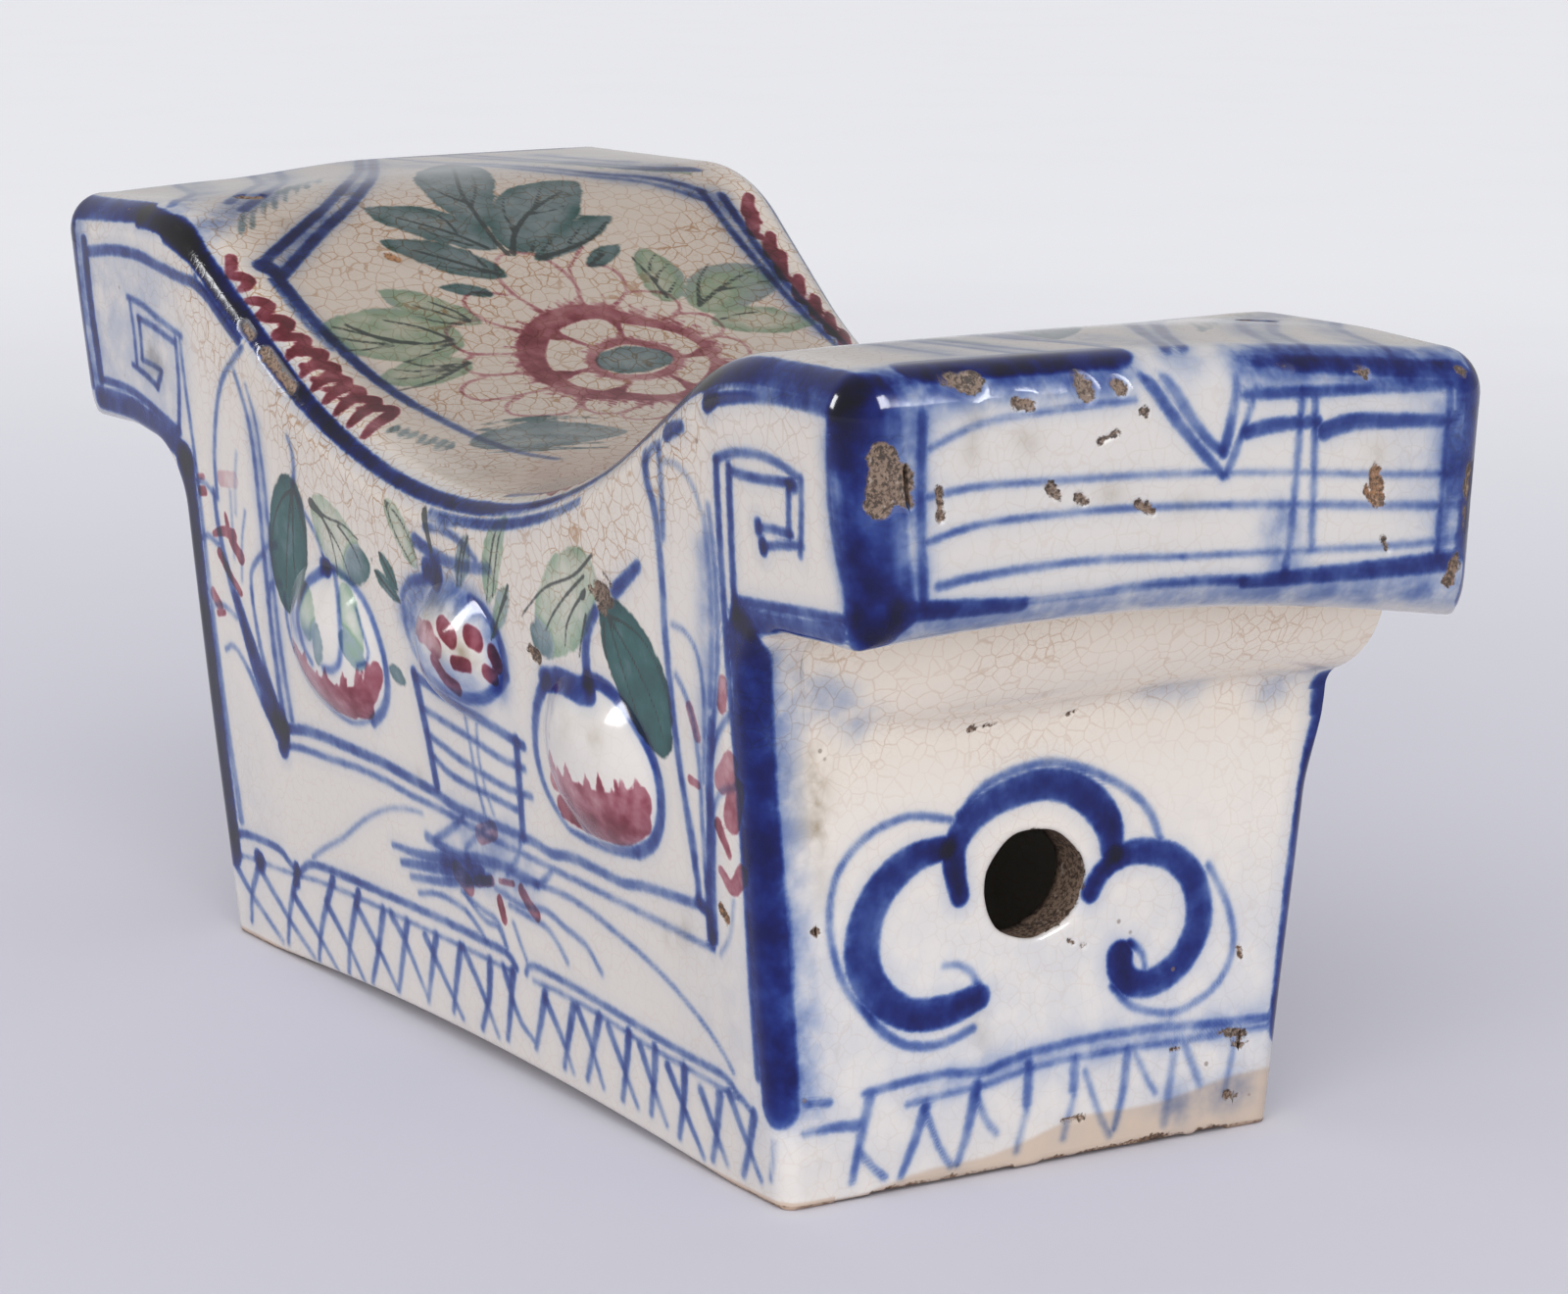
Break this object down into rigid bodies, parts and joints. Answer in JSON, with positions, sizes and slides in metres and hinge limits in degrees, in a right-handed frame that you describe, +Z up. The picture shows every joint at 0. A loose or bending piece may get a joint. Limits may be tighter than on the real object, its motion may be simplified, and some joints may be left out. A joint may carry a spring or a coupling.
{
  "type": "ceramic pillow",
  "caption": "Slab-built ceramic headrest with a saddle top between overhanging heads, vented end walls and fruit in relief under a crackled, painted glaze.",
  "frame": {"origin": "middle of the pillow's footprint, on the surface that it stands on", "axes": "+X along the pillow, -Y its front, +Z up"},
  "size_m": [0.292, 0.1216, 0.1455],
  "materials": {
    "painted_glaze": "glossy crackled cream glaze painted in blue, red and green",
    "relief_fruit": "glossy glaze over pressed relief, painted in blue and red",
    "bare_clay": "unglazed buff clay"
  },
  "bodies": {
    "root": {"front_wall": "painted_glaze", "back_wall": "painted_glaze", "saddle_top": "painted_glaze", "base_slab": "bare_clay", "left_end_wall": "painted_glaze", "right_end_wall": "painted_glaze", "left_head_face": "painted_glaze", "right_head_face": "painted_glaze", "left_head_floor": "bare_clay", "right_head_floor": "bare_clay", "left_roll": "painted_glaze", "right_roll": "painted_glaze", "front_left_peach": "relief_fruit", "front_pomegranate": "relief_fruit", "front_right_peach": "relief_fruit", "back_left_peach": "relief_fruit", "back_pomegranate": "relief_fruit", "back_right_peach": "relief_fruit", "front_foot_coil": "bare_clay", "back_foot_coil": "bare_clay", "left_foot_coil": "bare_clay", "right_foot_coil": "bare_clay", "front_left_corner_coil": "bare_clay", "front_right_corner_coil": "bare_clay", "back_left_corner_coil": "bare_clay", "back_right_corner_coil": "bare_clay"}
  },
  "joints": []
}
